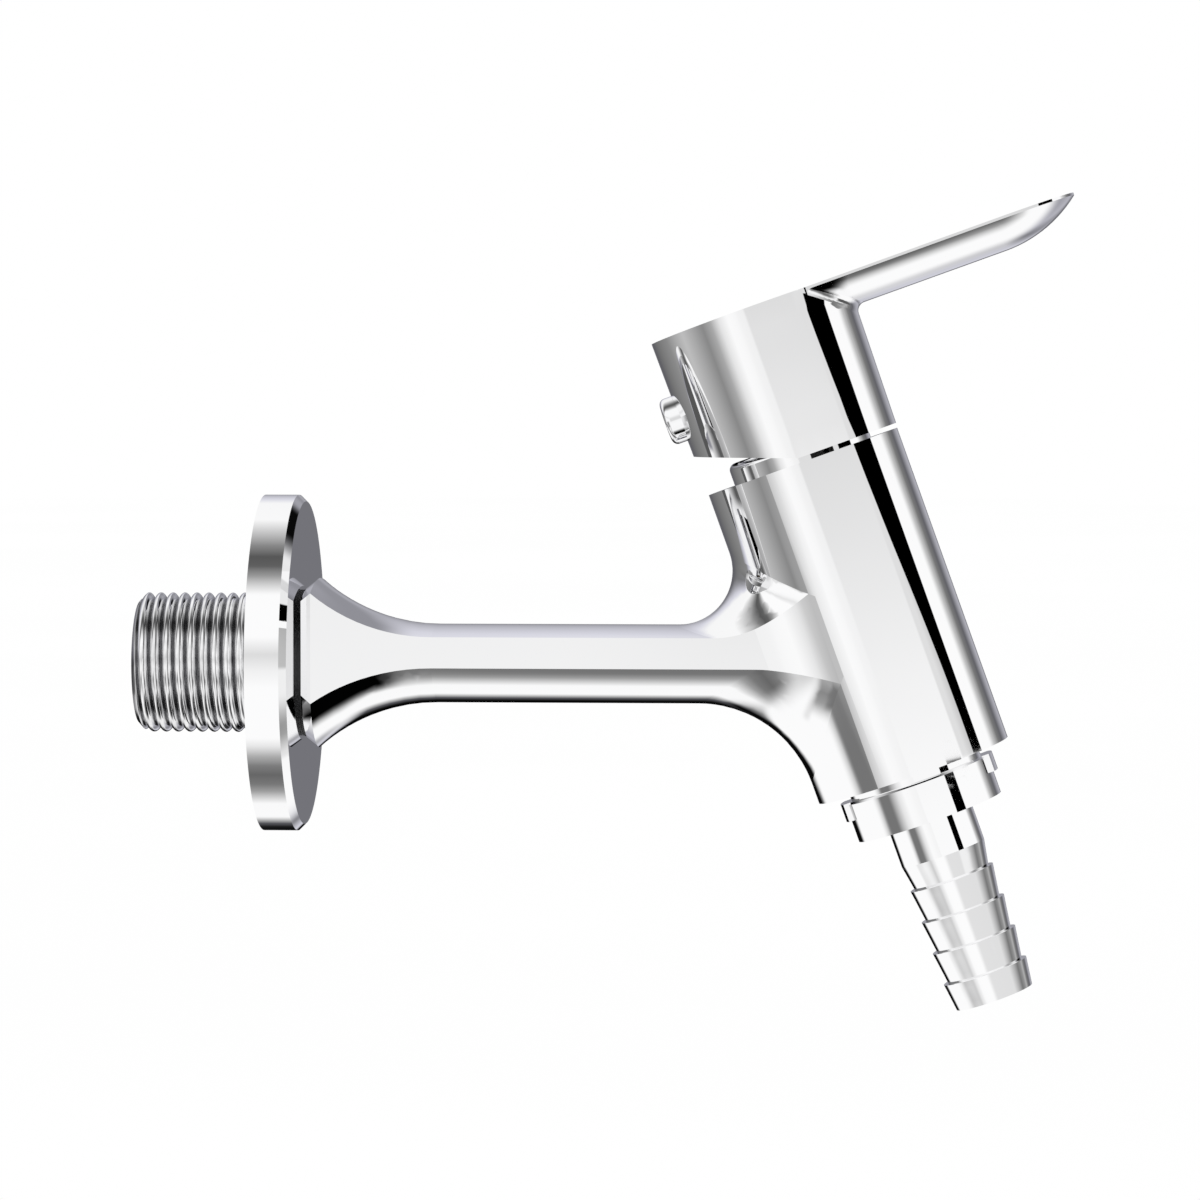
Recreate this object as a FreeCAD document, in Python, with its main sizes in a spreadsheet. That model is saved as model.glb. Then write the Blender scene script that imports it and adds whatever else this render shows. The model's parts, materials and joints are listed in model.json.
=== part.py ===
import FreeCAD, Part
import math
import os
import re

from FreeCAD import Placement, Rotation, Vector

# Wall-mounted hose tap: a crowned horizontal arm carries a tilted round barrel with a lever handle on top
# and a barbed hose nozzle below. Millimetres, +Z up, +X out of the wall, and the origin is the centre of
# the flange's wall face. The barrel parts are modelled upright, with their own origin where the barrel's
# axis crosses the arm's axis, and are then tilted into place.

DIMENSIONS = {
    # arm and barrel
    "arm_reach": 91.5,
    "barrel_tilt": 19.8,
    "barrel_radius": 14.9,
    "barrel_top": 32.2,
    "barrel_bottom": -16.65,
    "arm_half_width": 12.2,
    "arm_cast_half_width": 14.2,
    "side_blend": 26.0,
    "arm_half_height": 5.87,
    "arm_crease_high": 4.45,
    "arm_crease_low": -0.15,
    "arm_start": 6.6,
    "lip_length": 1.55,
    "lip_inset": 1.2,
    "flare_end": 26.1,
    "flare_radius": 27.0,
    "flare_share_high": 0.94,
    "flare_share_low": 0.785,
    "fillet_above": 8.1,
    "fillet_below": 18.0,
    # waterways in the body
    "spigot_hole_radius": 6.92,
    "spigot_hole_end": 15.3,
    "arm_bore_radius": 4.0,
    "arm_bore_end": 88.5,
    "cavity_radius": 12.55,
    "cavity_floor": 11.5,
    "port_offset": 5.2,
    "body_port_radius": 2.4,
    "outlet_radius": 10.3,
    "outlet_roof": -8.0,
    # wall flange and inlet
    "flange_radius": 25.2,
    "flange_thick": 6.05,
    "flange_chamfer": 1.0,
    "flange_bore_radius": 10.6,
    "seat_radius": 11.05,
    "seat_floor": 4.55,
    "gasket_inner_radius": 17.0,
    "gasket_outer_radius": 23.5,
    "gasket_thick": 1.5,
    "gasket_play": 0.1,
    "thread_radius": 10.4775,
    "shoulder_radius": 10.0,
    "thread_length": 19.0,
    "thread_chamfer": 1.1,
    "spigot_radius": 6.9,
    "spigot_end": 15.0,
    "inlet_radius": 4.75,
    "strainer_radius": 7.0,
    "strainer_depth": 6.0,
    "strainer_wall": 0.9,
    "strainer_hole_radius": 0.6,
    # cartridge, measured up the barrel's axis
    "base_radius": 12.45,
    "base_top": 15.0,
    "port_radius": 2.3,
    "seal_radius": 3.85,
    "seal_hole_radius": 2.6,
    "seal_height": 1.4,
    "fixed_disc_radius": 9.9,
    "fixed_disc_top": 18.0,
    "moving_disc_radius": 8.2,
    "moving_disc_bottom": 18.04,
    "moving_disc_top": 20.5,
    "moving_disc_rest": -1.35,
    "driver_radius": 7.6,
    "driver_top": 24.0,
    "ball_pocket_radius": 2.0,
    "ball_pocket_floor": 20.9,
    "housing_radius": 12.45,
    "housing_bore_radius": 10.2,
    "housing_roof": 27.1,
    "housing_top": 29.5,
    "housing_neck_radius": 7.6,
    "neck_seal_radius": 8.7,
    "neck_seal_top": 28.4,
    "ring_groove_radius": 11.3,
    "ring_groove_low": 21.0,
    "ring_groove_high": 22.4,
    "carrier_flange_radius": 10.1,
    "carrier_flange_low": 24.4,
    "carrier_flange_high": 27.0,
    "carrier_radius": 7.5,
    "carrier_top": 33.5,
    "carrier_slot_width": 4.8,
    "carrier_slot_length": 9.0,
    "pivot_height": 31.0,
    "pin_radius": 1.5,
    "pin_hole_radius": 1.53,
    "pin_length": 13.6,
    "nut_thread_radius": 12.5,
    "nut_bore_radius": 8.4,
    "nut_collar_radius": 10.75,
    "nut_collar_top": 35.4,
    "nut_rounding": 1.1,
    "nut_slot_width": 3.7,
    "nut_slot_bearing": 71.0,
    # lever body
    "ball_radius": 1.9,
    "ball_height": 23.0,
    "shank_radius": 1.4,
    "shank_top": 27.2,
    "tongue_width": 4.6,
    "tongue_length": 6.0,
    "square_low": 36.0,
    "square_side": 7.0,
    "square_top": 47.2,
    "cap_low": 32.95,
    "cap_top": 56.2,
    "cap_low_radius": 15.0,
    "cap_high_radius": 15.35,
    "cap_bore_radius": 12.8,
    "cap_bore_roof": 40.0,
    "blade_tip": 51.15,
    "blade_half_width": 12.2,
    "blade_keel": 51.45,
    "blade_edge_low": 55.8,
    "blade_fillet": 1.3,
    "socket_side": 7.06,
    "socket_top": 47.6,
    "screw_height": 44.46,
    "screw_radius": 2.05,
    "screw_tip": -3.55,
    "screw_head": -9.6,
    "screw_key_radius": 1.15,
    "screw_key_depth": 2.6,
    "plug_radius": 3.55,
    "plug_face": -17.3,
    "plug_seat": -13.9,
    "plug_rounding": 0.9,
    "plug_stem_radius": 2.0,
    "plug_stem_end": -11.2,
    # outlet
    "washer_hole_radius": 5.0,
    "washer_thick": 2.0,
    "nozzle_flange_radius": 9.2,
    "nozzle_flange_thick": 2.0,
    "nozzle_radius": 6.5,
    "nozzle_shank_radius": 6.2,
    "nozzle_bore_radius": 4.6,
    "nozzle_land_end": -29.8,
    "nozzle_neck_radius": 5.8,
    "first_barb": -33.7,
    "barb_pitch": 4.93,
    "barb_count": 4,
    "nozzle_end": -52.65,
    "nozzle_end_radius": 5.95,
    "nut_thread_top": -12.1,
    "nut_thread_male_radius": 10.2,
    "nut_hole_radius": 6.65,
    "nut_radius": 11.2,
    "nut_top": -17.9,
    "nut_bottom": -24.05,
    "nut_chamfer": 0.3,
    "lug_radius": 11.95,
    "lug_width": 7.0,
    "lug_bottom": -20.6,
}

doc = FreeCAD.newDocument("hose_tap")
sheet = doc.addObject("Spreadsheet::Sheet", "Dimensions")
for row, (alias, value) in enumerate(DIMENSIONS.items(), start=1):
    sheet.set(f"A{row}", alias)
    sheet.set(f"B{row}", str(value))
    sheet.setAlias(f"B{row}", alias)
doc.recompute()

UP = Vector(0, 0, 1)
nodes = []


def size(alias):
    """The value of one driving dimension."""
    return float(sheet.get(alias))


def formula(text):
    """An expression in which every dimension's name points at its cell."""
    return re.sub(r"[a-z][a-z_]+", lambda word: "Dimensions." + word.group(0), str(text))


def bind(thing, **formulas):
    """Ties properties to the sheet; a double underscore in a name stands for a dot."""
    for name, text in formulas.items():
        thing.setExpression(name.replace("__", "."), formula(text))
    return thing


def upright(kind, name, low, **formulas):
    """A primitive standing on its local Z axis from the height low."""
    thing = bind(doc.addObject(kind, name), **formulas)
    return bind(thing, Placement__Base__z=low)


def cylinder(name, radius, low, high):
    return upright("Part::Cylinder", name, low, Radius=radius, Height=f"({high}) - ({low})")


def cone(name, low_radius, high_radius, low, high):
    height = f"({high}) - ({low})"
    return upright("Part::Cone", name, low, Radius1=low_radius, Radius2=high_radius, Height=height)


def cylinder_along_x(name, radius, start, end, height="0"):
    rod = bind(doc.addObject("Part::Cylinder", name), Radius=radius, Height=f"({end}) - ({start})")
    rod.Placement.Rotation = Rotation(Vector(0, 1, 0), 90)
    return bind(rod, Placement__Base__x=start, Placement__Base__z=height)


def cylinder_along_y(name, radius, length, height):
    rod = bind(doc.addObject("Part::Cylinder", name), Radius=radius, Height=length)
    rod.Placement.Rotation = Rotation(Vector(1, 0, 0), -90)
    return bind(rod, Placement__Base__y=f"-({length}) / 2", Placement__Base__z=height)


def block(name, length, width, low, high):
    """A box centred on the axis, length along X and width along Y."""
    box = upright("Part::Box", name, low, Length=length, Width=width, Height=f"({high}) - ({low})")
    return bind(box, Placement__Base__x=f"-({length}) / 2", Placement__Base__y=f"-({width}) / 2")


def move(thing, x=None, y=None):
    if x is not None:
        bind(thing, Placement__Base__x=x)
    if y is not None:
        bind(thing, Placement__Base__y=y)
    return thing


def fuse(name, *shapes):
    union = doc.addObject("Part::MultiFuse", name)
    union.Shapes = list(shapes)
    union.Refine = True
    return union


def cut(name, base, *tools):
    tool = tools[0] if len(tools) == 1 else fuse(name + "_tools", *tools)
    difference = doc.addObject("Part::Cut", name)
    difference.Base = base
    difference.Tool = tool
    return difference


def feature(name, shape):
    """A sub-part whose shape is worked out from the sheet with Part's own functions."""
    thing = doc.addObject("Part::Feature", name)
    thing.Shape = shape
    return thing


def barrel_placement():
    return Placement(Vector(size("arm_reach"), 0, 0), Rotation(Vector(0, -1, 0), size("barrel_tilt")))


def node(thing, label, tilted=False):
    """Registers a finished sub-part and puts the barrel's own parts in place."""
    thing.Label = label
    if tilted:
        thing.Placement = barrel_placement()
        bind(thing, Placement__Base__x="arm_reach", Placement__Rotation__Angle="barrel_tilt")
    nodes.append(thing)
    return thing


def middle(edge):
    return edge.valueAt((edge.FirstParameter + edge.LastParameter) / 2)


# ---------------------------------------------------------------- tap body


def arm_section(x, top, high_crease, low_crease, bottom, half_width):
    """A closed outline across the arm: flat sides between a shallow crown and a deeper belly."""
    near_low = Vector(x, -half_width, low_crease)
    near_high = Vector(x, -half_width, high_crease)
    far_high = Vector(x, half_width, high_crease)
    far_low = Vector(x, half_width, low_crease)
    crown = Part.Arc(near_high, Vector(x, 0, top), far_high).toShape()
    belly = Part.Arc(far_low, Vector(x, 0, bottom), near_low).toShape()
    near_side = Part.makeLine(near_low, near_high)
    far_side = Part.makeLine(far_high, far_low)
    return Part.Wire([near_side, crown, far_side, belly])


def flared_section(x, inset=0.0):
    """The arm's outline at x, which grows towards the wall along an arc."""
    run = max(size("flare_end") - x, 0.0)
    growth = size("flare_radius") - math.sqrt(size("flare_radius") ** 2 - run**2)
    half_height = size("arm_half_height") + growth - inset
    high_crease = size("arm_crease_high") + growth * size("flare_share_high") - inset
    low_crease = size("arm_crease_low") - growth * size("flare_share_low") + inset
    half_width = size("arm_half_width") - inset
    return arm_section(x, half_height, high_crease, low_crease, -half_height, half_width)


def body_shell():
    """Arm, barrel and the two blends between them, as one casting without its waterways."""
    flare_start = size("arm_start") + size("lip_length")
    flare_end = size("flare_end")
    lip = Part.makeLoft([inset_lip(flare_start), flared_section(flare_start)], True, True)
    steps = 9
    stations = [flare_start + (flare_end - flare_start) * i / steps for i in range(steps + 1)]
    flare = Part.makeLoft([flared_section(x) for x in stations], True)
    reach = Vector(size("arm_reach") - flare_end, 0, 0)
    prism = Part.Face(widened_section(flare_end)).extrude(reach)
    height = size("barrel_top") - size("barrel_bottom")
    barrel = Part.makeCylinder(size("barrel_radius"), height, Vector(0, 0, size("barrel_bottom")), UP)
    barrel.Placement = barrel_placement().multiply(barrel.Placement)
    joined = prism.fuse(barrel).removeSplitter()
    joined = blend(joined, 1, size("fillet_above"))
    joined = blend(joined, -1, size("fillet_below"))
    for side in (1, -1):
        joined = joined.cut(side_waste(side))
    return joined.fuse([flare, lip]).removeSplitter()


def widened_section(x):
    """The arm's outline at x with its crown and belly carried on sideways past the flat sides."""
    half_width = size("arm_cast_half_width")
    half_height = size("arm_half_height")
    high_crease = half_height - arc_drop(half_height - size("arm_crease_high"))
    low_crease = -half_height + arc_drop(half_height + size("arm_crease_low"))
    return arm_section(x, half_height, high_crease, low_crease, -half_height, half_width)


def arc_drop(rise):
    """How far an arc that falls by rise at the flat sides has fallen at the widened outline."""
    radius = (size("arm_half_width") ** 2 + rise**2) / (2 * rise)
    return radius - math.sqrt(radius**2 - size("arm_cast_half_width") ** 2)


def side_waste(side):
    """What one side of the widened arm loses, seen along the barrel's axis: everything outside the flat, a
    hollow blend that is tangent to the flat and to the barrel, and the barrel itself."""
    flat = size("arm_half_width")
    hollow = size("side_blend")
    barrel = size("barrel_radius")
    far = 2 * barrel
    reach = size("arm_reach")

    def spot(x, y):
        return Vector(x, side * y, 0)

    def on_barrel(angle):
        return spot(barrel * math.cos(angle), barrel * math.sin(angle))

    middle_y = flat + hollow
    middle_x = -math.sqrt((barrel + hollow) ** 2 - middle_y**2)
    touch_angle = math.atan2(middle_y, middle_x)
    last_angle = math.radians(70)
    halfway = (touch_angle - math.pi / 2) / 2
    hollow_middle = spot(middle_x + hollow * math.sin(halfway), middle_y - hollow * math.cos(halfway))
    barrel_middle = on_barrel((touch_angle + last_angle) / 2)
    corners = [spot(-reach, flat), spot(middle_x, flat), on_barrel(touch_angle), on_barrel(last_angle),
               spot(barrel * math.cos(last_angle), far), spot(-reach, far)]
    outline = Part.Wire([
        Part.makeLine(corners[0], corners[1]),
        Part.Arc(corners[1], hollow_middle, corners[2]).toShape(),
        Part.Arc(corners[2], barrel_middle, corners[3]).toShape(),
        Part.makeLine(corners[3], corners[4]),
        Part.makeLine(corners[4], corners[5]),
        Part.makeLine(corners[5], corners[0]),
    ])
    waste = Part.Face(outline).extrude(Vector(0, 0, 2 * reach))
    waste.translate(Vector(0, 0, -reach))
    waste.Placement = barrel_placement().multiply(waste.Placement)
    return waste


def inset_lip(x):
    """The flared outline at x, drawn in on every side and moved back to the arm's wall end."""
    outline = flared_section(x, size("lip_inset"))
    outline.translate(Vector(size("arm_start") - x, 0, 0))
    return outline


def blend(solid, side, radius):
    """Rounds the corner where the arm's crown (side 1) or belly (side -1) runs into the barrel."""
    corner = []
    for edge in solid.Edges:
        place = middle(edge)
        near_arm = 2 < side * place.z < 9
        if abs(place.y) < 0.5 and near_arm and 60 < place.x < 85:
            corner.append(edge)
    rounded = solid.makeFillet(radius, corner)
    if not rounded.isValid():
        rounded.fix(1e-4, 1e-4, 1e-3)
    return rounded


def body_waterways():
    """Everything cut out of the casting: inlet bore, cartridge cavity, ports and outlet."""
    along = Vector(1, 0, 0)
    start = size("arm_start")
    spigot_hole = Part.makeCylinder(size("spigot_hole_radius"), size("spigot_hole_end") - start + 1,
                                    Vector(start - 1, 0, 0), along)
    bore = Part.makeCylinder(size("arm_bore_radius"), size("arm_bore_end") - start, Vector(start, 0, 0), along)
    floor = size("cavity_floor")
    cavity = Part.makeCylinder(size("cavity_radius"), size("barrel_top") - floor + 1, Vector(0, 0, floor), UP)
    offset = size("port_offset")
    port_radius = size("body_port_radius")
    inlet_port = Part.makeCylinder(port_radius, floor + 1, Vector(-offset, 0, 0), UP)
    roof = size("outlet_roof")
    outlet_port = Part.makeCylinder(port_radius, floor + 1 - roof, Vector(offset, 0, roof - 1), UP)
    bottom = size("barrel_bottom")
    outlet = Part.makeCylinder(size("outlet_radius"), roof - bottom + 1, Vector(0, 0, bottom - 1), UP)
    upright_cuts = cavity.fuse([inlet_port, outlet_port, outlet])
    upright_cuts.Placement = barrel_placement()
    return spigot_hole.fuse([bore, upright_cuts])


node(feature("Body", body_shell().cut(body_waterways())), "tap_body")

# ---------------------------------------------------------------- wall flange and inlet

rim = cylinder_along_x("FlangeRim", "flange_radius", "0", "flange_thick - flange_chamfer")
bevel = bind(doc.addObject("Part::Cone", "FlangeBevel"), Radius1="flange_radius",
             Radius2="flange_radius - flange_chamfer", Height="flange_chamfer")
bevel.Placement.Rotation = Rotation(Vector(0, 1, 0), 90)
bind(bevel, Placement__Base__x="flange_thick - flange_chamfer")
flange_disc = fuse("FlangeDisc", rim, bevel)
flange_bore = cylinder_along_x("FlangeBore", "flange_bore_radius", "-1", "flange_thick + 1")
flange_seat = cylinder_along_x("FlangeSeat", "seat_radius", "seat_floor", "flange_thick + 1")
gasket_groove = cut(
    "GasketGroove",
    cylinder_along_x("GrooveOuter", "gasket_outer_radius + gasket_play", "-1", "gasket_thick"),
    cylinder_along_x("GrooveInner", "gasket_inner_radius - gasket_play", "-2", "gasket_thick + 1"),
)
node(cut("Flange", flange_disc, flange_bore, flange_seat, gasket_groove), "wall_flange")

node(
    cut(
        "Gasket",
        cylinder_along_x("GasketDisc", "gasket_outer_radius", "0", "gasket_thick"),
        cylinder_along_x("GasketHole", "gasket_inner_radius", "-1", "gasket_thick + 1"),
    ),
    "wall_gasket",
)
node(
    cut(
        "FlangeSeal",
        cylinder_along_x("FlangeSealDisc", "seat_radius - 0.1", "seat_floor", "arm_start"),
        cylinder_along_x("FlangeSealHole", "shoulder_radius", "seat_floor - 1", "arm_start + 1"),
    ),
    "flange_o_ring",
)

thread_end = bind(doc.addObject("Part::Cone", "ThreadEnd"), Radius1="thread_radius - thread_chamfer",
                  Radius2="thread_radius", Height="thread_chamfer")
thread_end.Placement.Rotation = Rotation(Vector(0, 1, 0), 90)
bind(thread_end, Placement__Base__x="-thread_length")
nipple = fuse(
    "NippleShape",
    thread_end,
    cylinder_along_x("NippleThread", "thread_radius", "thread_chamfer - thread_length", "0"),
    cylinder_along_x("NippleShoulder", "shoulder_radius", "-1", "arm_start"),
    cylinder_along_x("NippleSpigot", "spigot_radius", "arm_start - 1", "spigot_end"),
)
node(
    cut(
        "Nipple",
        nipple,
        cylinder_along_x("NippleBore", "inlet_radius", "-thread_length - 1", "spigot_end + 1"),
        cylinder_along_x("NippleMouth", "strainer_radius", "-thread_length - 1", "strainer_depth - thread_length"),
    ),
    "inlet_nipple",
)

# a cup-shaped screen: a ring with a perforated floor of two rings of holes round a middle hole
screen_holes = [cylinder_along_x("ScreenHole0", "strainer_hole_radius", "-thread_length - 1", "0")]
for ring, count in ((1, 6), (2, 12)):
    for turn in range(count):
        angle = 2 * math.pi * turn / count
        hole = cylinder_along_x(f"ScreenHole{ring}_{turn}", "strainer_hole_radius", "-thread_length - 1", "0")
        spread = f"{ring} * 2.6 * strainer_hole_radius * 1.4"
        bind(hole, Placement__Base__y=f"{spread} * {math.cos(angle):.6f}")
        bind(hole, Placement__Base__z=f"{spread} * {math.sin(angle):.6f}")
        screen_holes.append(hole)
strainer_floor = "strainer_depth - thread_length"
node(
    cut(
        "Strainer",
        cylinder_along_x("StrainerCup", "strainer_radius", "1 - thread_length", strainer_floor),
        cylinder_along_x("StrainerHollow", "strainer_radius - strainer_wall", "-thread_length - 1",
                         strainer_floor + " - strainer_wall"),
        *screen_holes,
    ),
    "inlet_strainer",
)

# ---------------------------------------------------------------- cartridge, upright


def two_ports(name, radius, low, high):
    """The inlet port behind the axis and the outlet port in front of it."""
    behind = move(cylinder(name + "Inlet", radius, low, high), x="-port_offset")
    front = move(cylinder(name + "Outlet", radius, low, high), x="port_offset")
    return [behind, front]


def ring_of(name, outer, inner, low, high):
    return cut(name, cylinder(name + "Disc", outer, low, high),
               cylinder(name + "Hole", inner, f"({low}) - 1", f"({high}) + 1"))


seals = cut(
    "SealPair",
    fuse("SealDiscs", *two_ports("Seal", "seal_radius", "cavity_floor", "cavity_floor + seal_height")),
    *two_ports("SealHole", "seal_hole_radius", "cavity_floor - 1", "cavity_floor + seal_height + 1"),
)
node(seals, "port_seals", tilted=True)

node(
    cut(
        "CartridgeBase",
        cylinder("BaseDisc", "base_radius", "cavity_floor", "base_top"),
        *two_ports("BasePort", "port_radius", "cavity_floor - 1", "base_top + 1"),
        *two_ports("BaseSeat", "seal_radius", "cavity_floor - 1", "cavity_floor + seal_height"),
    ),
    "cartridge_base",
    tilted=True,
)
node(
    cut(
        "FixedDisc",
        cylinder("FixedDiscBlank", "fixed_disc_radius", "base_top", "fixed_disc_top"),
        *two_ports("FixedPort", "port_radius", "base_top - 1", "fixed_disc_top + 1"),
    ),
    "fixed_disc",
    tilted=True,
)

housing_groove = ring_of("HousingGroove", "housing_radius + 1", "ring_groove_radius", "ring_groove_low",
                         "ring_groove_high")
node(
    cut(
        "Housing",
        cylinder("HousingBlank", "housing_radius", "base_top", "housing_top"),
        cylinder("HousingBore", "housing_bore_radius", "base_top - 1", "housing_roof"),
        cylinder("HousingNeck", "housing_neck_radius", "housing_roof - 1", "housing_top + 1"),
        cylinder("NeckSealSeat", "neck_seal_radius", "housing_roof - 1", "neck_seal_top"),
        housing_groove,
    ),
    "cartridge_housing",
    tilted=True,
)
node(ring_of("CartridgeRing", "cavity_radius", "ring_groove_radius", "ring_groove_low", "ring_groove_high"),
     "cartridge_o_ring", tilted=True)
node(ring_of("NeckSeal", "neck_seal_radius", "housing_neck_radius", "housing_roof", "neck_seal_top"),
     "stem_seal", tilted=True)

# the retaining nut: a threaded ring with a rounded collar that shows above the barrel, slotted for a key
collar_blank = cylinder("CollarBlank", "nut_collar_radius", "barrel_top - 0.5", "nut_collar_top")
doc.recompute()
collar = doc.addObject("Part::Fillet", "Collar")
collar.Base = collar_blank
top_edges = [i for i, edge in enumerate(collar_blank.Shape.Edges, start=1)
             if abs(middle(edge).z - size("nut_collar_top")) < 0.01 and edge.Closed]
collar.Edges = [(top_edges[0], size("nut_rounding"), size("nut_rounding"))]
nut_blank = fuse("NutBlank", cylinder("NutThread", "nut_thread_radius", "housing_top", "barrel_top"), collar)
key_slot = block("KeySlot", "3 * nut_collar_radius", "nut_slot_width", "barrel_top", "nut_collar_top + 1")
key_slots = doc.addObject("Part::Compound", "KeySlots")
key_slots.Links = [key_slot]
key_slots.Placement = Placement(Vector(), Rotation(UP, -size("nut_slot_bearing")))
node(
    cut("RetainingNut", nut_blank, cylinder("NutBore", "nut_bore_radius", "housing_top - 1",
                                            "nut_collar_top + 1"), key_slots),
    "retaining_nut",
    tilted=True,
)

# moving pieces of the cartridge
moving_blank = move(cylinder("MovingBlank", "moving_disc_radius", "moving_disc_bottom", "moving_disc_top"),
                    x="moving_disc_rest")
pocket = move(block("MovingPocket", "2 * port_radius + 2", "2 * port_radius", "moving_disc_bottom - 1",
                    "moving_disc_bottom + 1.2"), x="moving_disc_rest + 1")
node(cut("MovingDisc", moving_blank, pocket), "moving_disc", tilted=True)

driver = move(cylinder("DriverBlank", "driver_radius", "moving_disc_top", "driver_top"), x="moving_disc_rest")
ball_pocket = cylinder("BallPocket", "ball_pocket_radius", "ball_pocket_floor", "driver_top + 1")
node(cut("Driver", driver, ball_pocket), "disc_driver", tilted=True)

carrier_blank = fuse(
    "CarrierBlank",
    cylinder("CarrierFlange", "carrier_flange_radius", "carrier_flange_low", "carrier_flange_high"),
    cylinder("CarrierBoss", "carrier_radius", "carrier_flange_low", "carrier_top"),
)
carrier_slot = block("CarrierSlot", "carrier_slot_length", "carrier_slot_width", "carrier_flange_low - 1",
                     "carrier_top + 1")
pin_bore = cylinder_along_y("PinBore", "pin_radius", "2 * carrier_radius + 2", "pivot_height")
node(cut("Carrier", carrier_blank, carrier_slot, pin_bore), "stem_carrier", tilted=True)
pin = doc.addObject("Part::Compound", "Pin")
pin.Links = [cylinder_along_y("PinRod", "pin_radius", "pin_length", "pivot_height")]
node(pin, "pivot_pin", tilted=True)

# ---------------------------------------------------------------- lever, upright

ball = bind(doc.addObject("Part::Sphere", "StemBall"), Radius="ball_radius", Placement__Base__z="ball_height")
stem_blank = fuse(
    "StemBlank",
    ball,
    cylinder("StemShank", "shank_radius", "ball_height", "shank_top + 1"),
    block("StemTongue", "tongue_length", "tongue_width", "shank_top", "square_low + 1"),
    block("StemSquare", "square_side", "square_side", "square_low", "square_top"),
)
node(cut("Stem", stem_blank, cylinder_along_y("StemPinHole", "pin_hole_radius", "pin_length",
                                              "pivot_height")), "lever_stem", tilted=True)


def blade_shape():
    """A thin round-ended paddle with a flat top, thin upright edges and a belly that is one arc across."""
    half_width = size("blade_half_width")
    top = size("cap_top")
    keel = Vector(0, 0, size("blade_keel"))
    edge = Vector(0, half_width, size("blade_edge_low"))
    rise = edge.z - keel.z
    radius = (half_width**2 + rise**2) / (2 * rise)
    halfway = math.asin(half_width / radius) / 2
    between = Vector(0, radius * math.sin(halfway), keel.z + radius * (1 - math.cos(halfway)))
    top_middle = Vector(0, 0, top)
    top_edge = Vector(0, half_width, top)
    half = Part.Face(Part.Wire([
        Part.makeLine(top_middle, keel),
        Part.Arc(keel, between, edge).toShape(),
        Part.makeLine(edge, top_edge),
        Part.makeLine(top_edge, top_middle),
    ]))
    end_centre = size("blade_tip") - half_width
    whole = half.fuse(half.mirror(Vector(), Vector(0, 1, 0)))
    bar = whole.extrude(Vector(end_centre, 0, 0))
    end = half.revolve(Vector(), UP, 360)
    end.translate(Vector(end_centre, 0, 0))
    return bar.fuse(end).removeSplitter()


def cap_shape():
    low = size("cap_low")
    top = size("cap_top")
    return Part.makeCone(size("cap_low_radius"), size("cap_high_radius"), top - low, Vector(0, 0, low), UP)


def handle_shape():
    """The cap with its blade, hollowed from below and cut away behind so that it can tip backwards."""
    handle = cap_shape().fuse(blade_shape()).removeSplitter()
    handle = round_under_blade(handle)
    low = size("cap_low")
    cavity = Part.makeCylinder(size("cap_bore_radius"), size("cap_bore_roof") - low + 1,
                               Vector(0, 0, low - 1), UP)
    socket_side = size("socket_side")
    corner = Vector(-socket_side / 2, -socket_side / 2, size("cap_bore_roof") - 1)
    socket = Part.makeBox(socket_side, socket_side, size("socket_top") - corner.z, corner)
    height = size("screw_height")
    backwards = Vector(-1, 0, 0)
    screw_hole = Part.makeCylinder(size("screw_radius"), 20, Vector(0, 0, height), backwards)
    plug_start = Vector(size("plug_seat"), 0, height)
    plug_hole = Part.makeCylinder(size("plug_radius") + 0.08, 5, plug_start, backwards)
    wedge = Part.makeBox(60, 60, 30, Vector(-60, -30, -30))
    wedge.Placement = Placement(Vector(0, 0, low), Rotation(Vector(0, 1, 0), size("barrel_tilt")))
    return handle.cut(cavity.fuse([socket, screw_hole, plug_hole, wedge]))


def round_under_blade(handle):
    """A small blend where the blade's underside meets the front of the cap."""
    joint = []
    for edge in handle.Edges:
        place = middle(edge)
        under = size("blade_keel") - 0.5 < place.z < size("blade_edge_low")
        if under and 5 < place.x < size("cap_high_radius") + 0.5:
            joint.append(edge)
    return handle.makeFillet(size("blade_fillet"), joint)


node(feature("Handle", handle_shape()), "lever_handle", tilted=True)

screw = cylinder_along_x("ScrewBlank", "screw_radius", "screw_head", "screw_tip", "screw_height")
screw_key = bind(doc.addObject("Part::Prism", "ScrewKey"), Circumradius="screw_key_radius",
                 Height="screw_key_depth + 1")
screw_key.Placement.Rotation = Rotation(Vector(0, 1, 0), 90)
bind(screw_key, Placement__Base__x="screw_head - 1", Placement__Base__z="screw_height")
node(cut("SetScrew", screw, screw_key), "set_screw", tilted=True)

plug_blank = cylinder_along_x("PlugBlank", "plug_radius", "plug_face", "plug_seat", "screw_height")
doc.recompute()
plug_head = doc.addObject("Part::Fillet", "PlugHead")
plug_head.Base = plug_blank
face_edges = [i for i, edge in enumerate(plug_blank.Shape.Edges, start=1)
              if edge.Closed and abs(edge.CenterOfMass.x - size("plug_face")) < 0.01]
plug_head.Edges = [(face_edges[0], size("plug_rounding"), size("plug_rounding"))]
plug_stem = cylinder_along_x("PlugStem", "plug_stem_radius", "plug_seat - 1", "plug_stem_end", "screw_height")
node(fuse("IndexPlug", plug_head, plug_stem), "index_plug", tilted=True)

# ---------------------------------------------------------------- outlet, upright

node(ring_of("OutletWasher", "nozzle_flange_radius", "washer_hole_radius", "outlet_roof - washer_thick",
             "outlet_roof"), "outlet_washer", tilted=True)

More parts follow.
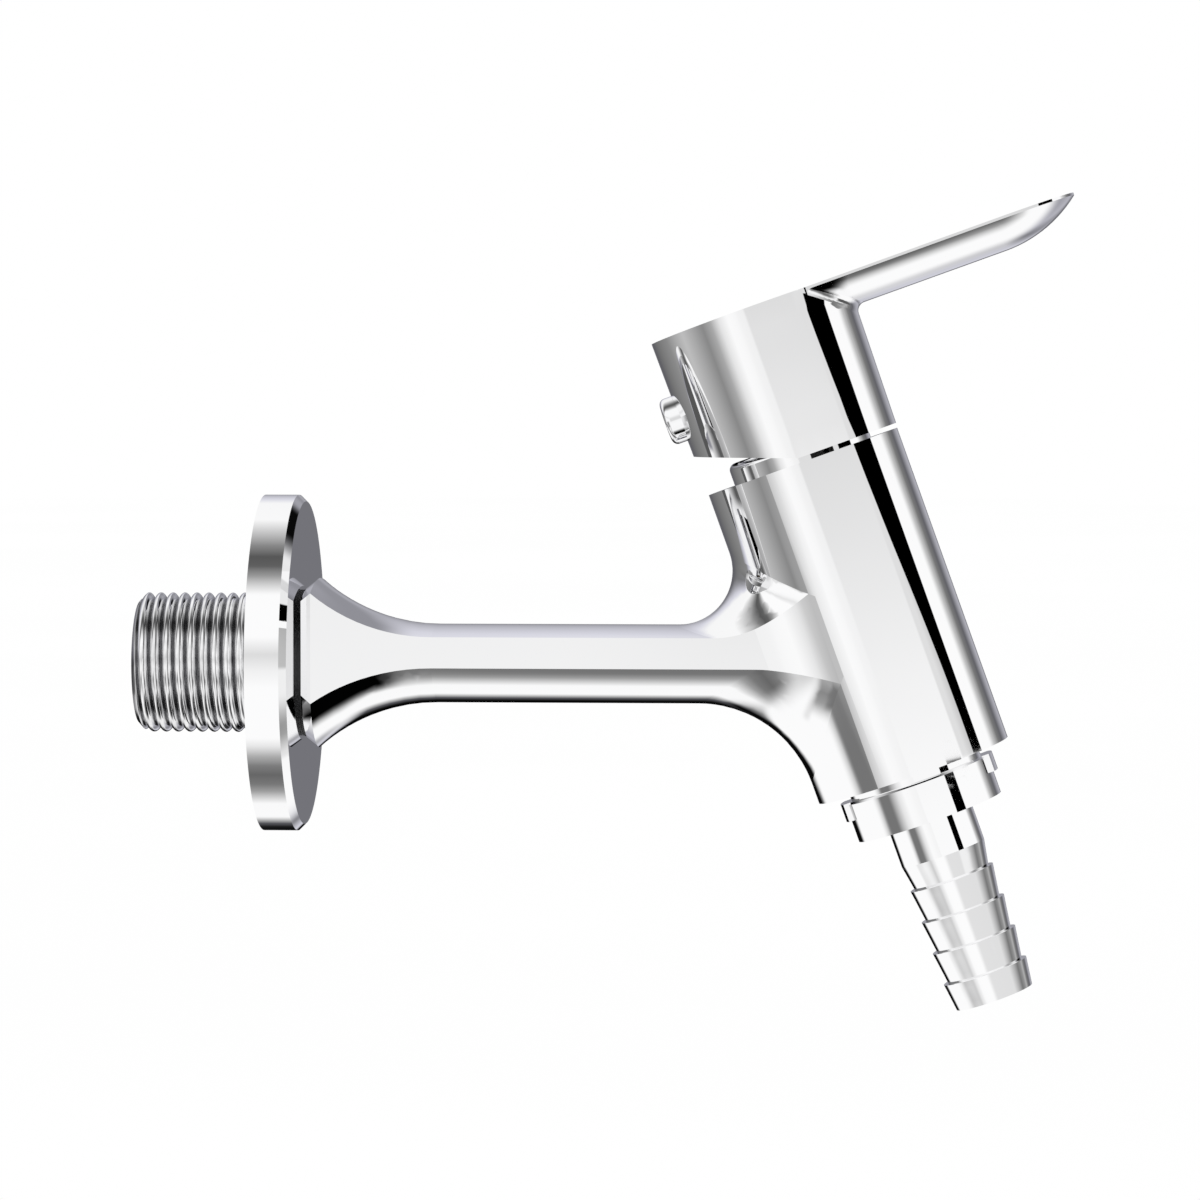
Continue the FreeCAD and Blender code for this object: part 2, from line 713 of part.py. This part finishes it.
flange_top = "outlet_roof - washer_thick"
nozzle_parts = [
    cylinder("NozzleFlange", "nozzle_flange_radius", f"{flange_top} - nozzle_flange_thick", flange_top),
    cylinder("NozzleShank", "nozzle_shank_radius", "nut_bottom - 1", flange_top),
    cylinder("NozzleLand", "nozzle_radius", "nozzle_land_end", "nut_bottom"),
    cone("NozzleTaper", "nozzle_neck_radius", "nozzle_radius", "first_barb", "nozzle_land_end"),
]
barb_count = int(size("barb_count"))
for barb in range(barb_count):
    top = f"first_barb - {barb} * barb_pitch"
    last = barb == barb_count - 1
    low = "nozzle_end" if last else f"first_barb - {barb + 1} * barb_pitch"
    low_radius = "nozzle_end_radius" if last else "nozzle_neck_radius"
    nozzle_parts.append(cone(f"Barb{barb}", low_radius, "nozzle_radius", low, top))
node(
    cut("Nozzle", fuse("NozzleBlank", *nozzle_parts),
        cylinder("NozzleBore", "nozzle_bore_radius", "nozzle_end - 1", "outlet_roof + 1")),
    "hose_nozzle",
    tilted=True,
)

lugs = doc.addObject("Part::MultiCommon", "Lugs")
lugs.Shapes = [
    cylinder("LugRound", "lug_radius", "lug_bottom", "nut_top"),
    block("LugBar", "2 * lug_radius + 2", "lug_width", "lug_bottom - 1", "nut_top + 1"),
]
nozzle_nut = fuse(
    "NozzleNutBlank",
    cylinder("NozzleNutBody", "nut_radius", "nut_bottom", "nut_top - nut_chamfer"),
    cone("NozzleNutBevel", "nut_radius", "nut_radius - nut_chamfer", "nut_top - nut_chamfer", "nut_top"),
    cylinder("NozzleNutThread", "nut_thread_male_radius", "nut_top - 1", "nut_thread_top"),
    lugs,
)
node(
    cut("NozzleNut", nozzle_nut, cylinder("NozzleNutBore", "nut_hole_radius", "nut_bottom - 1",
                                          "nut_thread_top + 1")),
    "nozzle_nut",
    tilted=True,
)

# ---------------------------------------------------------------- checks and export

doc.recompute()
for thing in doc.Objects:
    if "Invalid" in thing.State or "Error" in thing.State:
        raise RuntimeError(f"{thing.Label} failed: {thing.State}")

os.makedirs("parts", exist_ok=True)
for thing in nodes:
    shape = thing.Shape
    if shape.isNull() or not shape.isValid() or shape.Volume <= 0:
        raise RuntimeError(f"{thing.Label} has no valid solid")
    shape.exportStep(f"parts/{thing.Label}.step")
    print(f"{thing.Label}: {len(shape.Solids)} solid(s), {shape.Volume:.0f} mm3")
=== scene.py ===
import json
import math

import bmesh
import bpy
from mathutils import Matrix, Vector


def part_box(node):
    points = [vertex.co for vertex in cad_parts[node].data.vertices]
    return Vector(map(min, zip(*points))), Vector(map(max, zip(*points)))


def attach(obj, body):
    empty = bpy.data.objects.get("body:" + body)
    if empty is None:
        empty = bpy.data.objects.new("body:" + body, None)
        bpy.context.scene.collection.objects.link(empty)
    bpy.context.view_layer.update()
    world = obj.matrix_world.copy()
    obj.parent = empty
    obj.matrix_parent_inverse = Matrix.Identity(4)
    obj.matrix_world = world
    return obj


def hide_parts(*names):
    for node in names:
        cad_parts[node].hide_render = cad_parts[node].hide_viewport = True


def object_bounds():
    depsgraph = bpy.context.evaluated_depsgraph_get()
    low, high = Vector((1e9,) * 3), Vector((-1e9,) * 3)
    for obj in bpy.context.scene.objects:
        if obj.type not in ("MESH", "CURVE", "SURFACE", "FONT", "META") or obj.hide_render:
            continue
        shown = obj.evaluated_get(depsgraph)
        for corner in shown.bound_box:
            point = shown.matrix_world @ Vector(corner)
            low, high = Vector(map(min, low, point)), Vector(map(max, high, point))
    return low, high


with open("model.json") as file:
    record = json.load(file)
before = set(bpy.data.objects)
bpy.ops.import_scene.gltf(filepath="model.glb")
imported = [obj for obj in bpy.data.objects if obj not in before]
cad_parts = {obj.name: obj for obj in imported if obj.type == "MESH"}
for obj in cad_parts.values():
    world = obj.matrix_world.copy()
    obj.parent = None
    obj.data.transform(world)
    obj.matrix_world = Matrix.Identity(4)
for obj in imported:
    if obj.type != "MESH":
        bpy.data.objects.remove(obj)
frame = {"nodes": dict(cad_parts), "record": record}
cad_low, cad_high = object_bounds()

# ---------------------------------------------------------------- camera

CAMERA_PLACE = Vector((0.104, -0.800, 0.0426))
# degrees
CAMERA_YAW = -3.8403
CAMERA_PITCH = -2.3614
CAMERA_ROLL = 0.0277
# millimetres
SENSOR = 36.0
LENS = 160.96


def make_camera():
    """A long lens a little to the right of the tap and above it, looking across the arm."""
    lens = bpy.data.cameras.new("camera")
    lens.sensor_width = SENSOR
    lens.lens = LENS
    lens.clip_start = 0.01
    lens.clip_end = 20.0
    camera = bpy.data.objects.new("camera", lens)
    turn = Matrix.Rotation(math.radians(-CAMERA_YAW), 4, "Z")
    nod = Matrix.Rotation(math.radians(90 + CAMERA_PITCH), 4, "X")
    roll = Matrix.Rotation(math.radians(CAMERA_ROLL), 4, "Z")
    camera.matrix_world = Matrix.Translation(CAMERA_PLACE) @ turn @ nod @ roll
    bpy.context.scene.collection.objects.link(camera)
    bpy.context.scene.camera = camera


make_camera()

# ---------------------------------------------------------------- node helpers


def linear(value):
    """A display grey or colour channel from 0 to 255 as scene-linear light."""
    share = value / 255
    return share / 12.92 if share <= 0.04045 else ((share + 0.055) / 1.055) ** 2.4


def tone(value, tint=(1.0, 1.0, 1.0)):
    """A display grey with a tint, as the value of a colour socket."""
    return shade(tint, linear(value))


def shade(colour, share=1.0):
    """This share of a colour's three channels, as the value of a colour socket."""
    return tuple(share * channel for channel in colour) + (1.0,)


class Graph:
    """A short way to write a node tree: every call adds a node and returns it or its first output."""

    def __init__(self, tree):
        self.tree = tree
        self.tree.nodes.clear()

    def add(self, kind, inputs=(), **settings):
        """A node with these inputs, each a value or another node's output, and these settings."""
        node = self.tree.nodes.new(kind)
        for name, value in settings.items():
            setattr(node, name, value)
        for key, value in dict(inputs).items():
            if isinstance(value, bpy.types.NodeSocket):
                self.tree.links.new(value, node.inputs[key])
            else:
                node.inputs[key].default_value = value
        return node

    def math(self, operation, *values):
        return self.add("ShaderNodeMath", enumerate(values), operation=operation).outputs[0]

    def product(self, *values):
        result = values[0]
        for value in values[1:]:
            result = self.math("MULTIPLY", result, value)
        return result

    def between(self, value, low, high, start=0.0, end=1.0):
        """start up to low, end from high on, and a soft step between them. low may be the larger one."""
        node = self.add("ShaderNodeMapRange", {"Value": value, "From Min": low, "From Max": high,
                                               "To Min": start, "To Max": end},
                        interpolation_type="SMOOTHSTEP")
        return node.outputs["Result"]

    def mix(self, factor, first, second):
        node = self.add("ShaderNodeMix", data_type="RGBA")
        for socket, value in ((node.inputs[0], factor), (node.inputs[6], first), (node.inputs[7], second)):
            if isinstance(value, bpy.types.NodeSocket):
                self.tree.links.new(value, socket)
            else:
                socket.default_value = value
        return node.outputs[2]

    def ramp(self, value, stops):
        """A colour ramp over a share of a turn, with stops as angles from -180 to 180 degrees and colours."""
        node = self.add("ShaderNodeValToRGB", {"Fac": value})
        colours = node.color_ramp
        while len(colours.elements) > 1:
            colours.elements.remove(colours.elements[-1])
        colours.elements[0].position = (stops[0][0] + 180) / 360
        colours.elements[0].color = stops[0][1]
        for angle, colour in stops[1:]:
            colours.elements.new((angle + 180) / 360).color = colour
        return node.outputs["Color"]

    def noise(self, scale, detail=2.0, roughness=0.5, stretch=None):
        """Noise in the object's own metres, drawn out along an axis where stretch says."""
        place = self.add("ShaderNodeTexCoord").outputs["Object"]
        if stretch:
            place = self.add("ShaderNodeMapping", {"Vector": place, "Scale": stretch}).outputs[0]
        return self.add("ShaderNodeTexNoise", {"Vector": place, "Scale": scale, "Detail": detail,
                                               "Roughness": roughness}).outputs["Fac"]

    def surface(self, colour, roughness, height, depth, strength=1.0, metallic=1.0):
        """A Principled shader with a bump of this height map, depth metres from its lowest to its highest."""
        bump = self.add("ShaderNodeBump", {"Height": height, "Distance": depth, "Strength": strength})
        return self.add("ShaderNodeBsdfPrincipled", {"Base Color": colour, "Metallic": metallic,
                                                     "Roughness": roughness, "Normal": bump.outputs[0]})


# ---------------------------------------------------------------- studio

LAVENDER = (0.965, 0.965, 1.07)
BARREL_TILT = math.radians(19.8)
BOARD_SLOPE = 0.45
# Both tables below give an angle in degrees, a display grey and sometimes a tint. They began as shades read
# across the arm, the barrel and the flange's rim in the photo, and were then changed against renders.
# This one is for the upright plane across the arm: 0 is level towards the camera, 90 is overhead.
OVER_AND_UNDER = [
    # level behind the tap, with a black strip just below
    (-180, 118, LAVENDER), (-174, 118, LAVENDER), (-171, 3, LAVENDER), (-156, 3),
    # the floor from behind to in front, brightest behind and in front of a grey gap straight below
    (-150, 30), (-142, 90, LAVENDER), (-136, 175), (-129, 254), (-110, 253), (-96, 160), (-89, 122),
    (-80, 104), (-72, 126), (-64, 176), (-56, 235),
    # the front, a little darker where the camera stands
    (-50, 256), (-14, 256), (-3, 245), (8, 222), (20, 256), (50, 256),
    # a dark gap nearly overhead, and the ceiling behind it
    (64, 156), (72, 97), (80, 88), (90, 138), (104, 204), (118, 252), (144, 250), (154, 222, LAVENDER),
    (168, 184, LAVENDER), (176, 155, LAVENDER), (180, 118, LAVENDER),
]
# This one is for the plane square to the barrel: 0 is towards the camera, 90 is to its right.
ROUND_ABOUT = [
    # behind on the left, and the left side
    (-180, 118, LAVENDER), (-157, 96, LAVENDER), (-137, 118), (-113, 140), (-98, 170), (-84, 192), (-70, 170),
    # a darker gap, and the front
    (-55, 138), (-44, 171), (-34, 231), (-24, 254), (-14, 252), (-4, 234), (6, 228), (69, 226),
    # the right side, and behind on the right
    (82, 192), (100, 120), (112, 145), (121, 178), (129, 122), (140, 100, LAVENDER), (153, 162, LAVENDER),
    (164, 185, LAVENDER), (172, 120, LAVENDER), (180, 118, LAVENDER),
]


def stops(table):
    """A table's rows as angles with colour values."""
    return [(angle, tone(*grey)) for angle, *grey in table]


class Studio:
    """The light from every direction, built up from panels whose limits are in named coordinates.

    right, up and towards are the direction's own x, z and -y; the camera stands on the towards side.
    along and aside are its parts along the barrel's axis and square to it.
    over and about go round the tap in the planes of the two tables, as shares of a turn.
    angle is about in degrees, from -180 to 180.
    floor_right and floor_away say where it meets a floor or ceiling, in units of the height.
    over_slope is how far up it is over a line that falls to the left.
    """

    def __init__(self, graph):
        self.graph = graph
        direction = graph.add("ShaderNodeTexCoord").outputs["Generated"]
        axes = graph.add("ShaderNodeSeparateXYZ", {"Vector": direction}).outputs
        right = axes["X"]
        up = axes["Z"]
        towards = graph.math("MULTIPLY", axes["Y"], -1.0)
        lean = math.sin(BARREL_TILT)
        rise = math.cos(BARREL_TILT)
        aside = graph.math("MULTIPLY_ADD", right, rise, graph.math("MULTIPLY", up, lean))
        height = graph.math("ABSOLUTE", up)
        self.over = self.turn(up, towards)
        self.about = self.turn(aside, towards)
        self.places = {
            "right": right,
            "up": up,
            "towards": towards,
            "sideways": graph.math("ABSOLUTE", right),
            "along": graph.math("MULTIPLY_ADD", up, rise, graph.math("MULTIPLY", right, -lean)),
            "angle": graph.math("MULTIPLY_ADD", self.about, 360.0, -180.0),
            "floor_right": graph.math("DIVIDE", right, height),
            "floor_away": graph.math("DIVIDE", axes["Y"], height),
            "over_slope": graph.math("MULTIPLY_ADD", right, -BOARD_SLOPE, up),
        }

    def turn(self, side, front):
        """The angle from front to side as a share of a turn, which is 0.5 at the front."""
        graph = self.graph
        return graph.math("MULTIPLY_ADD", graph.math("ARCTAN2", side, front), 1 / (2 * math.pi), 0.5)

    def fade(self, name, off, on, start, end):
        """start where the named coordinate is at off, end where it is at on, and a soft step between."""
        return self.graph.between(self.places[name], off, on, start, end)

    def mask(self, **limits):
        """1 within the limits: each is (off, on) for a soft step or (off, on, on, off) for a soft strip."""
        parts = []
        for name, limit in limits.items():
            place = self.places[name]
            parts.append(self.graph.between(place, *limit[:2]))
            if len(limit) == 4:
                parts.append(self.graph.between(place, *limit[2:], 1.0, 0.0))
        return self.graph.product(*parts)

    def panel(self, light, colour, **limits):
        """light, covered by a panel of this colour within the limits."""
        return self.graph.mix(self.mask(**limits), light, colour)


# limits that more than one panel has
BEHIND = (-0.2, -0.4)
LOW_PAIR = (-0.1104, -0.11, -0.0669, -0.0665)
BELOW_ARM = {"right": (-0.32, -0.66), "along": (-0.28, -0.42)}


def over_and_under(studio):
    """The ring across the arm, with its panels."""
    light = studio.graph.ramp(studio.over, stops(OVER_AND_UNDER))
    # behind on the right a paper screen covers most of the black strip, and the ceiling is darker
    paper = studio.graph.mix(studio.fade("floor_away", 0.9, 2.6, 0.0, 1.0), tone(255), tone(212, LAVENDER))
    light = studio.panel(light, paper, towards=BEHIND, floor_right=(0.16, 0.36), up=(-0.12, -0.24),
                         right=(0.80, 0.70))
    light = studio.panel(light, tone(148, LAVENDER), towards=BEHIND, right=(-0.07, 0.05), up=(0.12, 0.22))
    # white paper low on the left, for the blend below the arm
    return studio.panel(light, tone(255), **BELOW_ARM)


def round_about(studio):
    """The ring round the barrel, with its panels."""
    light = studio.graph.ramp(studio.about, stops(ROUND_ABOUT))
    # the left side is brighter below the barrel's own level, and has a grey panel lower down in front
    light = studio.panel(light, tone(255), angle=(-168.0, -150.0, -80.0, -62.0), along=(-0.03, -0.055),
                         right=(-0.38, -0.5))
    light = studio.panel(light, tone(198), angle=(-90.0, -80.0, -45.0, -35.0), along=(-0.27, -0.38))
    # white paper high on the left, for the hollow where the arm's side runs into the barrel
    light = studio.panel(light, tone(255), angle=(-87.0, -75.0, -15.0, -3.0), along=(0.02, 0.08))
    # white paper low on the left, for the blend below the arm
    light = studio.panel(light, tone(255), **BELOW_ARM)
    # a narrow darker strip on the left just below level, and a bright corner low on the right
    light = studio.panel(light, tone(118), angle=(-70.0, -62.0, -51.0, -43.0),
                         along=(-0.2, -0.1, -0.06, -0.02))
    light = studio.panel(light, tone(243), angle=(42.0, 50.0, 110.0, 118.0), along=(-0.35, -0.385))
    # a black upright card on the right, whose near edge leans, a white card behind it, and pale paper above
    near_edge = studio.fade("along", 0.0, -0.06, 66.0, 79.0)
    edge_start = studio.graph.math("SUBTRACT", near_edge, 0.6)
    light = studio.panel(light, tone(0), angle=(edge_start, near_edge, 91.5, 92.1),
                         along=(-0.07, -0.066, 0.03, 0.034))
    light = studio.panel(light, tone(255), angle=(91.5, 92.5, 108.0, 123.0), along=(-0.12, -0.10, 0.35, 0.37))
    light = studio.panel(light, tone(238), angle=(54.0, 60.0, 104.0, 110.0), along=(0.03, 0.04))
    # the white card of the lower pair
    return studio.panel(light, tone(255), angle=(60.0, 62.0, 104.0, 106.0), along=LOW_PAIR)


def make_world():
    """A light tent of two rings and some loose panels, with a white background that only the camera sees."""
    world = bpy.data.worlds.new("studio")
    bpy.context.scene.world = world
    world.use_nodes = True
    graph = Graph(world.node_tree)
    studio = Studio(graph)
    # the ring round the barrel takes over to either side, except high up and low down
    beside = studio.mask(sideways=(0.10, 0.32), along=(-0.75, -0.5, 0.1, 0.5))
    light = graph.mix(beside, over_and_under(studio), round_about(studio))
    # the front card is brighter towards its lower edge, with the lower pair's black card over it
    card = graph.mix(studio.fade("along", 0.02, -0.085, 0.0, 1.0), tone(220), tone(254))
    light = studio.panel(light, card, angle=(-5.0, -2.0, 61.0, 64.0), along=(-0.22, -0.16, 0.10, 0.16))
    light = studio.panel(light, tone(0), angle=(43.9, 44.5, 60.0, 60.6), along=LOW_PAIR)
    # a black cloth on the floor to the right, which fades out behind the tap
    fade_start = studio.fade("floor_right", 0.15, 0.40, 0.06, 0.12)
    fade_end = studio.fade("floor_right", 0.15, 0.40, 0.37, 0.60)
    light = studio.panel(light, tone(2), floor_away=(-1.0, -0.5, fade_start, fade_end), up=(-0.3, -0.5),
                         floor_right=(0.0, 0.14, 0.70, 0.90))
    # a black board low on the left behind the tap, which edges the blend below the arm and the barbs
    light = studio.panel(light, tone(8), over_slope=(0.0, -0.03), right=(-0.12, -0.2), towards=(-0.64, -0.80))
    # a dark wall far to the right, which the flange's face throws back at the barrel
    light = studio.panel(light, tone(88), right=(0.74, 0.80), up=(-0.56, -0.5, -0.2, -0.14),
                         towards=(-0.70, -0.62, -0.22, -0.14))
    # a black flag high on the right behind the tap
    light = studio.panel(light, tone(10), right=(0.26, 0.42, 0.62, 0.78), up=(0.30, 0.44, 0.62, 0.76),
                         towards=BEHIND)

    tent = graph.add("ShaderNodeBackground", {"Color": light, "Strength": 1.0}).outputs[0]
    plain = graph.add("ShaderNodeBackground", {"Color": (1, 1, 1, 1), "Strength": 1.0}).outputs[0]
    seen = graph.add("ShaderNodeLightPath").outputs["Is Camera Ray"]
    blend = graph.add("ShaderNodeMixShader", {0: seen, 1: tent, 2: plain}).outputs[0]
    graph.add("ShaderNodeOutputWorld", {"Surface": blend})


# ---------------------------------------------------------------- floor and lamp

FLOOR_GAP = 0.012
FLOOR_RADIUS = 4.0
FLOOR_SEGMENTS = 96
PAPER_DIMMEST = 0.994


def make_floor():
    """A plain pale disc under the tap, as white as the background behind it."""
    mesh = bpy.data.meshes.new("floor")
    disc = bmesh.new()
    bmesh.ops.create_circle(disc, cap_ends=True, segments=FLOOR_SEGMENTS, radius=FLOOR_RADIUS)
    disc.to_mesh(mesh)
    disc.free()
    floor = bpy.data.objects.new("floor", mesh)
    floor.location.z = cad_low[2] - FLOOR_GAP
    bpy.context.scene.collection.objects.link(floor)
    floor.visible_glossy = False
    material = bpy.data.materials.new("floor_paper")
    material.use_nodes = True
    graph = Graph(material.node_tree)
    brightness = graph.between(graph.noise(scale=3.0), 0.3, 0.7, PAPER_DIMMEST, 1.0)
    paper = graph.add("ShaderNodeEmission", {"Color": (1, 1, 1, 1), "Strength": brightness}).outputs[0]
    graph.add("ShaderNodeOutputMaterial", {"Surface": paper})
    mesh.materials.append(material)


LAMP_PLACE = Vector((-0.25, -0.9, 0.9))
LAMP_SIZE = 0.8
LAMP_POWER = 6.0


def make_lamp():
    """One large soft lamp above the camera's left shoulder, for the rubber and plastic pieces."""
    light = bpy.data.lights.new("soft_lamp", "AREA")
    light.shape = "DISK"
    light.size = LAMP_SIZE
    light.energy = LAMP_POWER
    lamp = bpy.data.objects.new("soft_lamp", light)
    target = (Vector(cad_low) + Vector(cad_high)) / 2
    facing = (LAMP_PLACE - target).to_track_quat("Z", "Y").to_matrix().to_4x4()
    lamp.matrix_world = Matrix.Translation(LAMP_PLACE) @ facing
    lamp.visible_glossy = False
    bpy.context.scene.collection.objects.link(lamp)


make_world()
make_floor()
make_lamp()
bpy.context.scene.view_settings.view_transform = "Standard"

# ---------------------------------------------------------------- materials

MIRROR_ROUGHNESS = 0.012
TOOL_MARK_DEPTH = 0.00002
CHROME_COLOUR = (0.97, 0.97, 0.975)


def finish_material(name, build):
    """A material whose surface is the shader node that build(graph) returns."""
    material = bpy.data.materials.new(name)
    material.use_nodes = True
    graph = Graph(material.node_tree)
    shader = build(graph)
    graph.add("ShaderNodeOutputMaterial", {"Surface": shader.outputs[0]})
    return material


def chrome(colour, wave, haze):
    """Polished plate: a faint waviness from the buffing wheel, hairlines and a little haze between them."""

    def build(graph):
        waves = graph.noise(scale=70.0, detail=1.0)
        hairlines = graph.noise(scale=900.0, detail=3.0, stretch=(0.15, 1.0, 1.0))
        handled = graph.noise(scale=45.0)
        rubbed = graph.product(graph.between(hairlines, 0.55, 0.75), graph.between(handled, 0.4, 0.7))
        roughness = graph.math("MULTIPLY_ADD", rubbed, haze, MIRROR_ROUGHNESS)
        body = graph.mix(graph.noise(scale=25.0), shade(colour), shade(colour, 0.985))
        return graph.surface(body, roughness, waves, wave)

    return build


def plastic(colour, roughness, grain, grain_scale):
    """Moulded plastic or rubber: a fine skin texture, flow marks and patches that shine a little more."""

    def build(graph):
        flow = graph.noise(scale=60.0, detail=4.0)
        skin = graph.noise(scale=grain_scale, detail=2.0)
        body = graph.mix(graph.between(flow, 0.35, 0.65), shade(colour, 0.82), shade(colour))
        gloss = graph.between(flow, 0.3, 0.7, roughness - 0.06, roughness + 0.06)
        return graph.surface(body, gloss, skin, grain, strength=0.7, metallic=0.0)

    return build


def turned_metal(colour, roughness, stretch):
    """Machined metal: fine tool marks drawn out along the cut, with tarnish in patches."""

    def build(graph):
        marks = graph.noise(scale=1400.0, detail=3.0, stretch=stretch)
        patches = graph.noise(scale=120.0, detail=3.0)
        body = graph.mix(graph.between(patches, 0.4, 0.75), shade(colour), shade(colour, 0.7))
        gloss = graph.between(marks, 0.3, 0.7, roughness - 0.08, roughness + 0.1)
        return graph.surface(body, gloss, marks, TOOL_MARK_DEPTH, strength=0.5)

    return build


FINISHES = {
    "chromed_brass": chrome(CHROME_COLOUR, wave=0.000006, haze=0.05),
    "chromed_zinc": chrome(CHROME_COLOUR, wave=0.000009, haze=0.06),
    "chromed_plastic": chrome((0.94, 0.94, 0.95), wave=0.000012, haze=0.10),
    "black_rubber": plastic((0.018, 0.018, 0.020), roughness=0.55, grain=0.00004, grain_scale=2500.0),
    "strainer_plastic": plastic((0.05, 0.16, 0.42), roughness=0.38, grain=0.00001, grain_scale=1800.0),
    "white_plastic": plastic((0.78, 0.78, 0.74), roughness=0.42, grain=0.00001, grain_scale=1800.0),
    "dark_plastic": plastic((0.035, 0.035, 0.038), roughness=0.40, grain=0.00001, grain_scale=1800.0),
    "ceramic": plastic((0.88, 0.87, 0.82), roughness=0.22, grain=0.000002, grain_scale=3000.0),
    "raw_brass": turned_metal((0.72, 0.50, 0.20), roughness=0.28, stretch=(0.2, 0.2, 1.0)),
    "steel": turned_metal((0.52, 0.52, 0.53), roughness=0.25, stretch=(1.0, 0.2, 1.0)),
}


def finish_parts():
    """Give every CAD node the material that its record names."""
    materials = {name: finish_material(name, build) for name, build in FINISHES.items()}
    for subpart in frame["record"]["subparts"]:
        part = frame["nodes"][subpart["node"]]
        part.data.materials.clear()
        part.data.materials.append(materials[subpart["material_slot"]])


finish_parts()

# ---------------------------------------------------------------- threaded inlet

THREAD_PITCH = 0.001814
THREAD_DEPTH = 0.001162
THREAD_OVERRUN = 0.0005
CREST_FULLNESS = 0.75
LEAD_IN = 0.0013
LEAD_SLOPE = 1.1
LEAD_ROUNDING = 0.0002
# the nipple's other radii, as shares of its crest radius
SHOULDER_SHARE = 0.9545
SPIGOT_SHARE = 0.6585
BORE_SHARE = 0.4534
MOUTH_SHARE = 0.6681
MOUTH_DEPTH = 0.006
MOUTH_CHAMFER = 0.0003
SPIGOT_CHAMFER = 0.0004
ROWS_PER_PITCH = 24
SEGMENTS = 168


def smooth_least(first, second):
    """The smaller of two lengths, with the corner between them rounded."""
    overlap = max(LEAD_ROUNDING - abs(first - second), 0.0) / LEAD_ROUNDING
    return min(first, second) - overlap * overlap * LEAD_ROUNDING / 4


def thread_radius(x, share, start, end, crest):
    """The radius of a right-hand pipe thread with full round crests at x, share of a turn round the axis."""
    phase = x / THREAD_PITCH + share
    radius = crest - THREAD_DEPTH * (1 - abs(math.sin(math.pi * phase)) ** CREST_FULLNESS)
    lead = crest - LEAD_IN + LEAD_SLOPE * (x - start)
    run_out = crest - LEAD_IN + LEAD_SLOPE * (end - x)
    return smooth_least(smooth_least(radius, lead), run_out)


def thread_rows(start, end, crest):
    """Rings of (x, radius) along the thread, from the nipple's open end to just inside the flange."""
    steps = round((end - start) / THREAD_PITCH * ROWS_PER_PITCH)
    rows = []
    for step in range(steps + 1):
        x = start + (end - start) * step / steps
        rows.append([(x, thread_radius(x, i / SEGMENTS, start, end, crest)) for i in range(SEGMENTS)])
    return rows


def plain_rows(start, thread_end, shoulder_end, end, crest):
    """Rings of the shoulder, the spigot, the bore and the strainer's wide mouth, back to the open end."""
    shoulder = crest * SHOULDER_SHARE
    spigot = crest * SPIGOT_SHARE
    bore = crest * BORE_SHARE
    mouth = crest * MOUTH_SHARE
    mouth_floor = start + MOUTH_DEPTH
    points = [(thread_end, shoulder), (shoulder_end, shoulder), (shoulder_end, spigot),
              (end - SPIGOT_CHAMFER, spigot), (end, spigot - SPIGOT_CHAMFER), (end, bore),
              (mouth_floor, bore), (mouth_floor, mouth), (start + MOUTH_CHAMFER, mouth),
              (start, mouth + MOUTH_CHAMFER)]
    return [[point] * SEGMENTS for point in points]


def ring_mesh(name, smooth_rows, sharp_rows):
    """A closed mesh round the x axis, creased at both ends of its smooth rows and along its sharp rows."""
    solid = bmesh.new()
    rings = []
    for row in smooth_rows + sharp_rows:
        ring = []
        for i, (x, radius) in enumerate(row):
            angle = 2 * math.pi * i / SEGMENTS
            ring.append(solid.verts.new((x, -radius * math.cos(angle), radius * math.sin(angle))))
        rings.append(ring)
    for first, second in zip(rings, rings[1:] + rings[:1]):
        for i in range(SEGMENTS):
            j = (i + 1) % SEGMENTS
            solid.faces.new((first[i], first[j], second[j], second[i])).smooth = True
    for ring in rings[:1] + rings[len(smooth_rows) - 1:]:
        for i in range(SEGMENTS):
            solid.edges.get((ring[i], ring[(i + 1) % SEGMENTS])).smooth = False
    bmesh.ops.recalc_face_normals(solid, faces=solid.faces)
    mesh = bpy.data.meshes.new(name)
    solid.to_mesh(mesh)
    solid.free()
    return mesh


def threaded_chrome_with_painted_groove_shade(graph):
    """Plate that is bright on the thread's crests, and dull with a painted shade that darkens it wherever the
    radius is less.
    """
    place = graph.add("ShaderNodeTexCoord").outputs["Object"]
    across = graph.add("ShaderNodeVectorMath", {0: place, 1: (0.0, 1.0, 1.0)}, operation="MULTIPLY")
    radius = graph.add("ShaderNodeVectorMath", {0: across.outputs[0]}, operation="LENGTH").outputs["Value"]
    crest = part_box("inlet_nipple")[1][2]
    # painted shade: this mask is 0 at the thread's root and 1 near its crests, and darkens the plate towards
    # the grooves
    height = graph.between(radius, crest - THREAD_DEPTH, crest - 0.25 * THREAD_DEPTH)
    grime = graph.between(graph.noise(scale=500.0, detail=3.0), 0.3, 0.7, 0.75, 1.0)
    # the grooves get the painted shade's dark grey, and the crests the plate's colour dimmed in random
    # patches of grime
    body = graph.mix(graph.product(height, grime), shade((0.16, 0.16, 0.17)), shade(CHROME_COLOUR))
    roughness = graph.between(height, 0.1, 0.9, 0.16, 0.03)
    return graph.surface(body, roughness, graph.noise(scale=900.0, detail=3.0), 0.000004)


def make_inlet():
    """The nipple that screws into the wall: a real helical thread, then the plain shoulder and spigot."""
    low, high = (Vector(corner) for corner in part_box("inlet_nipple"))
    thread_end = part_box("wall_flange")[0][0] + THREAD_OVERRUN
    shoulder_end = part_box("tap_body")[0][0]
    thread = thread_rows(low.x, thread_end, high.z)
    plain = plain_rows(low.x, thread_end, shoulder_end, high.x, high.z)
    mesh = ring_mesh("inlet_thread", thread, plain)
    mesh.materials.append(finish_material("chromed_thread", threaded_chrome_with_painted_groove_shade))
    piece = bpy.data.objects.new("inlet_thread", mesh)
    bpy.context.scene.collection.objects.link(piece)
    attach(piece, "tap")
    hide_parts("inlet_nipple")


make_inlet()
